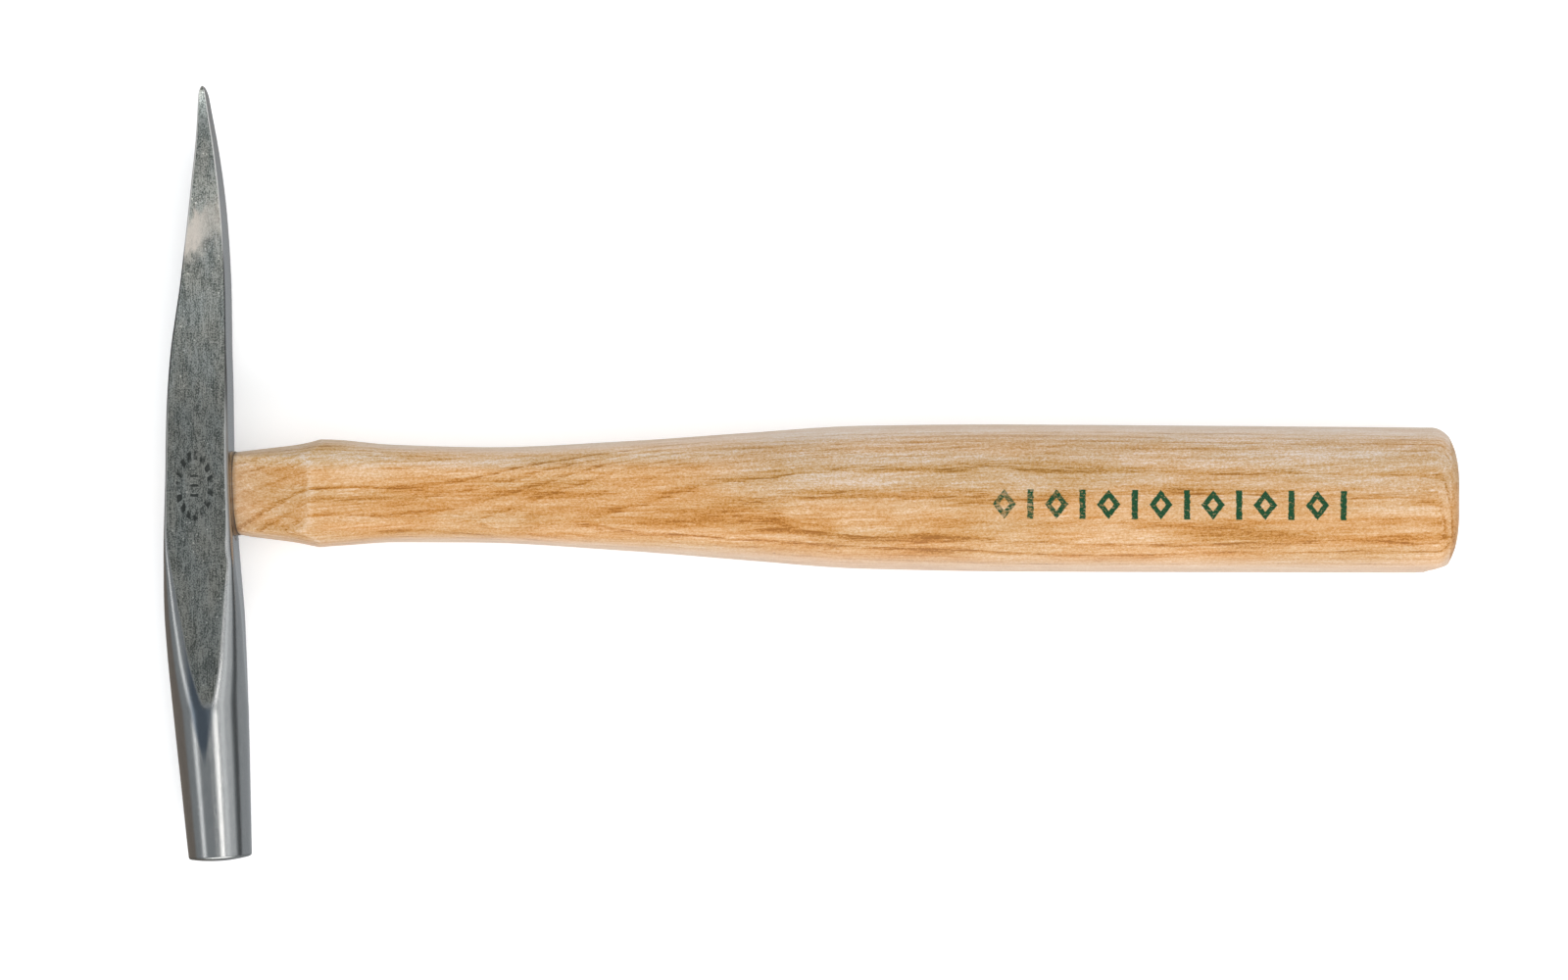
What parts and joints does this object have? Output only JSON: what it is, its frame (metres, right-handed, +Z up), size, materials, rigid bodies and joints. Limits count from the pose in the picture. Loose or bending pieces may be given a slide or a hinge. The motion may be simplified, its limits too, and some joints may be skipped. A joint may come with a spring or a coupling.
{
  "type": "chipping hammer",
  "caption": "Slim hand hammer with a long thin cross pein and a small round face on a flat-cheeked steel head, wedged on an oval wooden handle with a swelled grip.",
  "frame": {"origin": "centre of the object's bounding box in X and Y, at the height of the surface that the hammer lies on", "axes": "+X along the handle from the head to the butt, +Y along the head towards the pein tip, +Z up, square to both, out of the upper cheek"},
  "size_m": [0.2536, 0.1522, 0.0192],
  "materials": {
    "head_steel": "forged and ground steel, satin cheeks, polished round poll",
    "handle_hickory": "hickory with long open grain under clear satin lacquer",
    "wedge_wood": "bare sawn hardwood end grain",
    "wedge_steel": "plain mild steel, hammered flush"
  },
  "bodies": {
    "root": {"head": "head_steel", "handle": "handle_hickory", "wood_wedge": "wedge_wood", "steel_wedge_pein_side": "wedge_steel", "steel_wedge_face_side": "wedge_steel"}
  },
  "joints": []
}
